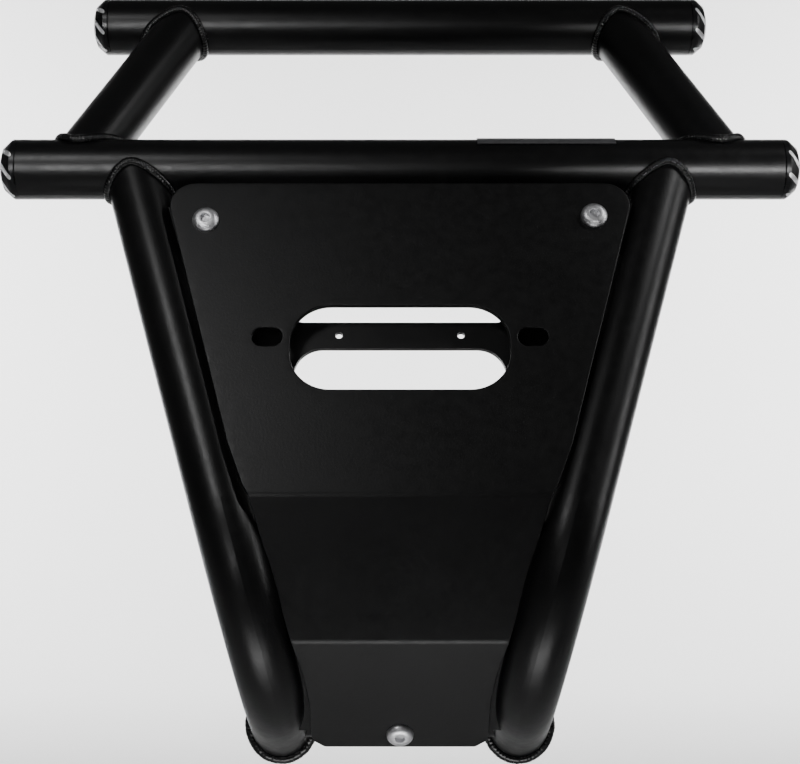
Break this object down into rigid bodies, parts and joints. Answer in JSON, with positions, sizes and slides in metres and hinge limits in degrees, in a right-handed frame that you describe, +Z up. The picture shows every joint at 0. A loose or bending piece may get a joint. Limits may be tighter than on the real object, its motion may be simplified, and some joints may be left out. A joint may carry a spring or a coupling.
{
  "type": "front bumper",
  "caption": "Welded round-tube front bumper for an off-road quad, with a folded skid plate between its bent down tubes and milled caps in its cross tubes.",
  "frame": {"origin": "midway between the two lower flanges, on their rear mounting faces, at the height of the bolt holes", "axes": "+Z up, the bumper's front faces -Y, +X to the right as seen from the front, lower bolts run along Y"},
  "size_m": [0.59, 0.282, 0.5902],
  "materials": {
    "black_powder_coat": "satin",
    "black_anodised": "satin",
    "zinc_plated_steel": "satin",
    "weld_coat": "gloss",
    "badge_foil": "satin"
  },
  "bodies": {
    "root": {"front_cross_tube": "black_powder_coat", "rear_cross_tube": "black_powder_coat", "left_connector_tube": "black_powder_coat", "right_connector_tube": "black_powder_coat", "left_down_tube": "black_powder_coat", "right_down_tube": "black_powder_coat", "front_left_end_cap": "black_anodised", "front_right_end_cap": "black_anodised", "rear_left_end_cap": "black_anodised", "rear_right_end_cap": "black_anodised", "skid_plate": "black_powder_coat", "cross_strap": "black_powder_coat", "upper_left_plate_tab": "black_powder_coat", "upper_right_plate_tab": "black_powder_coat", "left_side_web": "black_powder_coat", "right_side_web": "black_powder_coat", "lower_cross_bar": "black_powder_coat", "lower_plate_bracket": "black_powder_coat", "plate_screws": "zinc_plated_steel", "plate_washers": "zinc_plated_steel", "plate_nuts": "zinc_plated_steel", "left_lower_flange": "black_powder_coat", "right_lower_flange": "black_powder_coat", "left_flange_nut": "zinc_plated_steel", "right_flange_nut": "zinc_plated_steel", "left_frame_tab": "black_powder_coat", "right_frame_tab": "black_powder_coat", "left_leg_weld": "weld_coat", "right_leg_weld": "weld_coat", "front_left_connector_weld": "weld_coat", "front_right_connector_weld": "weld_coat", "rear_left_connector_weld": "weld_coat", "rear_right_connector_weld": "weld_coat", "left_flange_weld": "weld_coat", "right_flange_weld": "weld_coat", "blank_badge": "badge_foil"}
  },
  "joints": []
}
